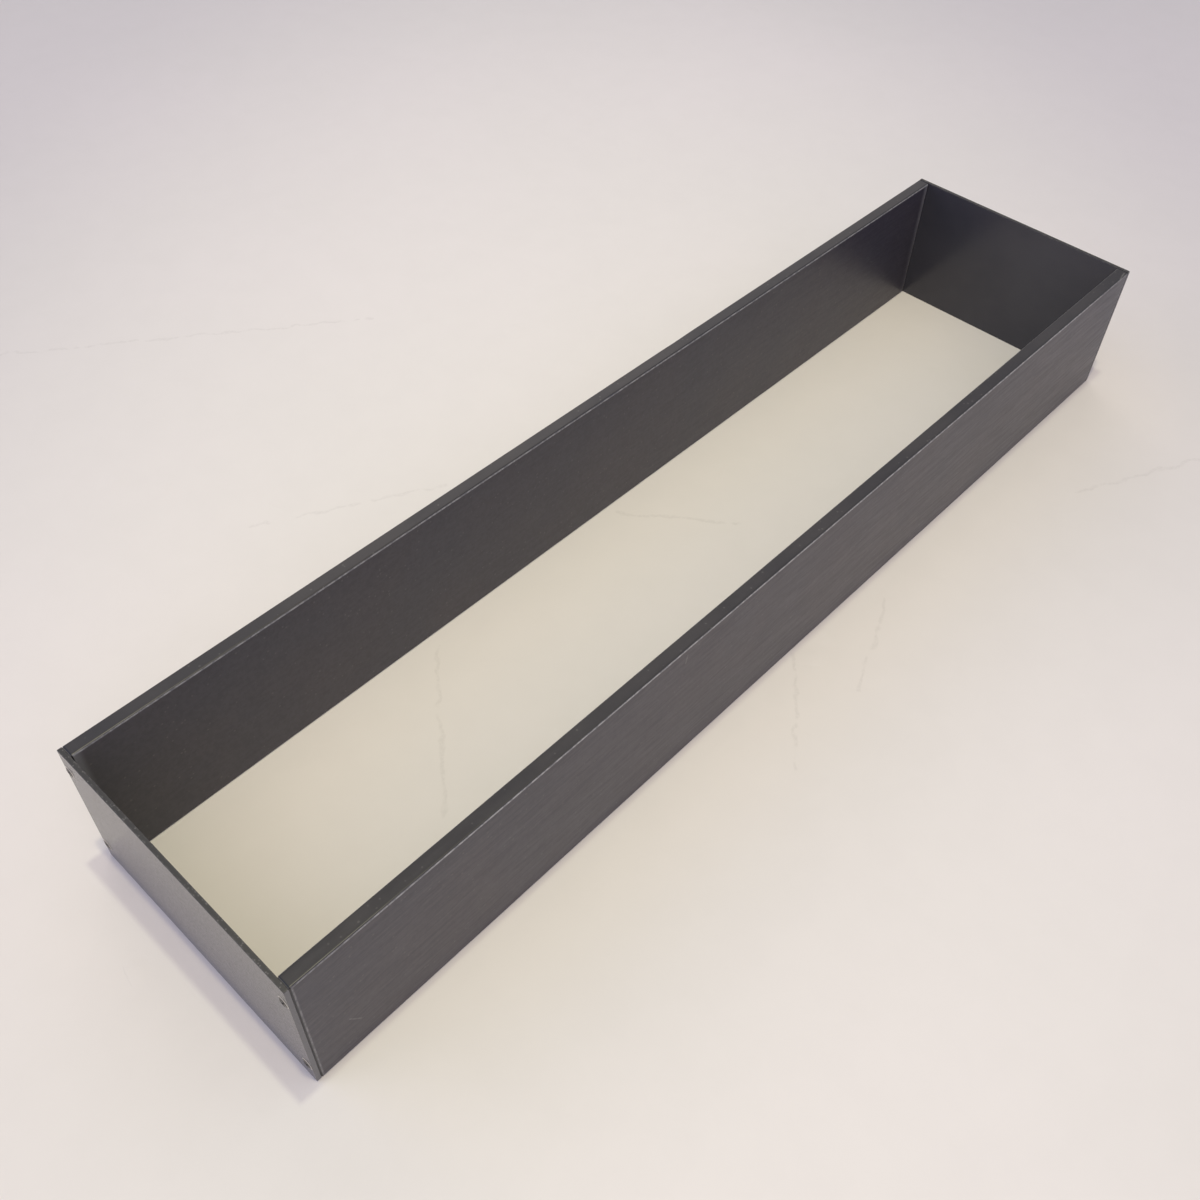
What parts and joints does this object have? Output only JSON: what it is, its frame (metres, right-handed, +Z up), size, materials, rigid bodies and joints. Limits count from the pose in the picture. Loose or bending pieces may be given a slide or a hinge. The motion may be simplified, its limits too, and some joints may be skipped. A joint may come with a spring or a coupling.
{
  "type": "drawer organizer",
  "caption": "Long narrow open frame that stands in a drawer and keeps its contents apart: slim grained side panels screwed between flat painted sheet-steel end plates.",
  "frame": {"origin": "centre of the resting plane, midway between the outer faces of the end plates and of the side panels", "axes": "+X along the length from the front end plate to the rear one, +Y towards the left side panel, +Z up"},
  "size_m": [0.4228, 0.1, 0.0555],
  "materials": {
    "side_panel": "satin dark anthracite decor foil with fine grain along the length, over fibreboard",
    "end_plate": "smooth semi-gloss anthracite paint on sheet steel",
    "screw": "satin black-zinc-plated steel"
  },
  "bodies": {
    "root": {"side_panel_right": "side_panel", "side_panel_left": "side_panel", "end_plate_front": "end_plate", "end_plate_rear": "end_plate", "screw_front_right_bottom": "screw", "screw_front_right_top": "screw", "screw_front_left_bottom": "screw", "screw_front_left_top": "screw", "screw_rear_right_bottom": "screw", "screw_rear_right_top": "screw", "screw_rear_left_bottom": "screw", "screw_rear_left_top": "screw"}
  },
  "joints": []
}
